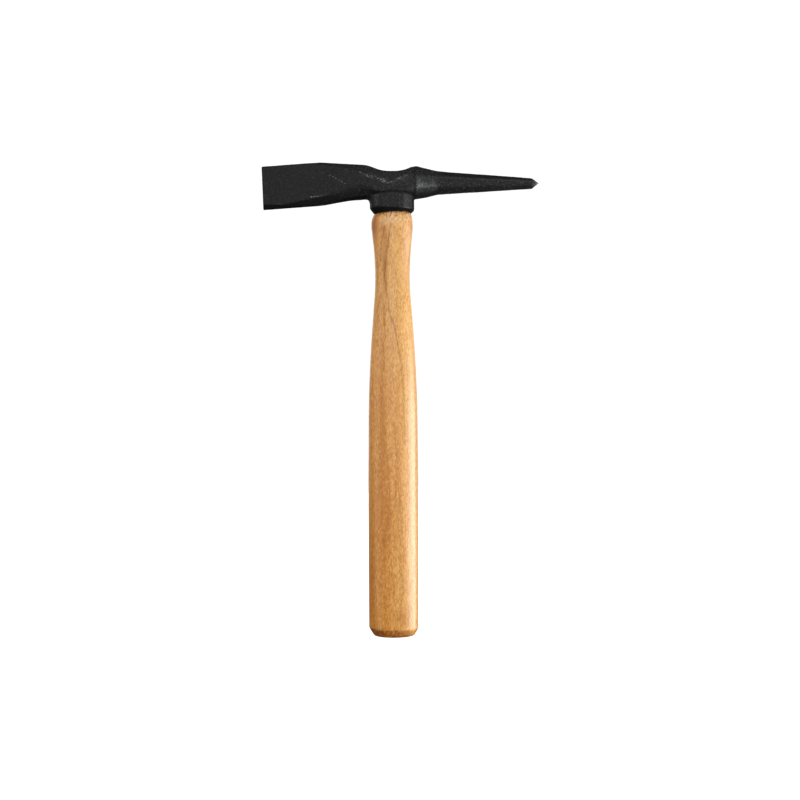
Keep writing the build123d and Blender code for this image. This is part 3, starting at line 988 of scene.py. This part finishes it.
def wedge_steel_material():
    """Bare drawn steel with a little rust."""
    s = Shader("wedge_steel")
    place = s.place()
    grain = s.noise(s.stretch(place, 1800, 300, 1800), 1.0, 4, 0.6)
    base = s.mix(grain, colour(0.16, 0.155, 0.15), colour(0.34, 0.335, 0.33))
    rust = s.span(s.noise(place, 500, 5, 0.7), 0.56, 0.68, 0.0, 0.6)
    base = s.mix(rust, base, colour(0.13, 0.06, 0.03))
    return s.finish(Base_Color=base, Metallic=0.9, Roughness=s.span(grain, 0.3, 0.7, 0.35, 0.5),
                    Normal=s.bump(grain, 0.0001, 0.3))


def place_piece(piece, node, material):
    """Gives the piece its material and its place in the frame."""
    piece.data.materials.clear()
    piece.data.materials.append(material)
    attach(piece, "root")
    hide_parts(node)


place_piece(build_head(), "head", head_material())
place_piece(build_handle(), "handle", wood_material())
place_piece(build_wooden_wedge(), "wooden_wedge", wedge_wood_material())
STEEL = wedge_steel_material()
place_piece(build_steel_wedge("wedge_steel_chisel_side", -STEEL_WEDGE_X),
            "steel_wedge_chisel_side", STEEL)
place_piece(build_steel_wedge("wedge_steel_pick_side", STEEL_WEDGE_X),
            "steel_wedge_pick_side", STEEL)


# ---------------------------------------------------------------- floor, world, lights, camera
def build_stage():
    """A pale round floor that glows, and neither lights nor shades the hammer."""
    turns = np.linspace(0, 2 * math.pi, 64, endpoint=False)
    floor = skin("floor", [[(FLOOR_RADIUS * math.cos(t), FLOOR_RADIUS * math.sin(t), z)
                            for t in turns] for z in FLOOR_HEIGHTS])
    s = Shader("pale_floor")
    floor.data.materials.append(s.finish(Base_Color=grey(0.8), Roughness=0.8,
                                         Specular_IOR_Level=0.1,
                                         Emission_Color=grey(1), Emission_Strength=0.9))
    floor.visible_glossy = False
    floor.visible_diffuse = False
    floor.visible_shadow = False


def area_light(name, azimuth, elevation, distance, size, radiance):
    """A soft rectangular light facing the hammer, placed by angles from the camera's side."""
    light = bpy.data.lights.new(name, "AREA")
    light.shape = "RECTANGLE"
    light.size, light.size_y = (side * MM for side in size)
    light.energy = radiance * math.pi * light.size * light.size_y
    made = bpy.data.objects.new(name, light)
    bpy.context.collection.objects.link(made)
    turn, lift = math.radians(azimuth), math.radians(elevation)
    away = Vector((math.sin(turn) * math.cos(lift), -math.cos(turn) * math.cos(lift),
                   math.sin(lift)))
    made.location = LIGHT_CENTRE * MM + away * distance * MM
    made.rotation_euler = (-away).to_track_quat("-Z", "Y").to_euler()
    made.visible_camera = False




def build_world():
    """A studio that lights by height, and is plain white where the camera sees it."""
    world = bpy.data.worlds.new("studio")
    bpy.context.scene.world = world
    world.use_nodes = True
    tree = world.node_tree
    place = tree.nodes.new("ShaderNodeTexCoord")
    split = tree.nodes.new("ShaderNodeSeparateXYZ")
    tree.links.new(place.outputs["Generated"], split.inputs[0])
    height = tree.nodes.new("ShaderNodeMapRange")
    height.inputs["From Min"].default_value = -1.0
    tree.links.new(split.outputs["Z"], height.inputs["Value"])
    ramp = tree.nodes.new("ShaderNodeValToRGB")
    ramp.color_ramp.elements.remove(ramp.color_ramp.elements[1])
    for position, level in SURROUND:
        element = ramp.color_ramp.elements.new(position)
        element.color = grey(level)
    ramp.color_ramp.elements.remove(ramp.color_ramp.elements[0])
    tree.links.new(height.outputs["Result"], ramp.inputs["Fac"])
    background = tree.nodes["Background"]
    tree.links.new(ramp.outputs["Color"], background.inputs["Color"])
    seen = tree.nodes.new("ShaderNodeBackground")
    seen.inputs["Color"].default_value = grey(1)
    seen.inputs["Strength"].default_value = BACKDROP_STRENGTH
    path = tree.nodes.new("ShaderNodeLightPath")
    mix = tree.nodes.new("ShaderNodeMixShader")
    tree.links.new(path.outputs["Is Camera Ray"], mix.inputs[0])
    tree.links.new(background.outputs[0], mix.inputs[1])
    tree.links.new(seen.outputs[0], mix.inputs[2])
    tree.links.new(mix.outputs[0], tree.nodes["World Output"].inputs["Surface"])


def build_camera():
    """A camera square to the front, with a slight roll."""
    camera = bpy.data.cameras.new("camera")
    camera.lens = CAMERA_LENS
    camera.sensor_width = CAMERA_SENSOR
    made = bpy.data.objects.new("camera", camera)
    bpy.context.collection.objects.link(made)
    made.location = Vector(CAMERA_PLACE) * MM
    made.rotation_euler = (math.radians(90), math.radians(CAMERA_ROLL), 0)
    bpy.context.scene.camera = made


build_stage()
build_world()
for light in LIGHTS:
    area_light(*light)
build_camera()
bpy.context.scene.view_settings.view_transform = "Standard"
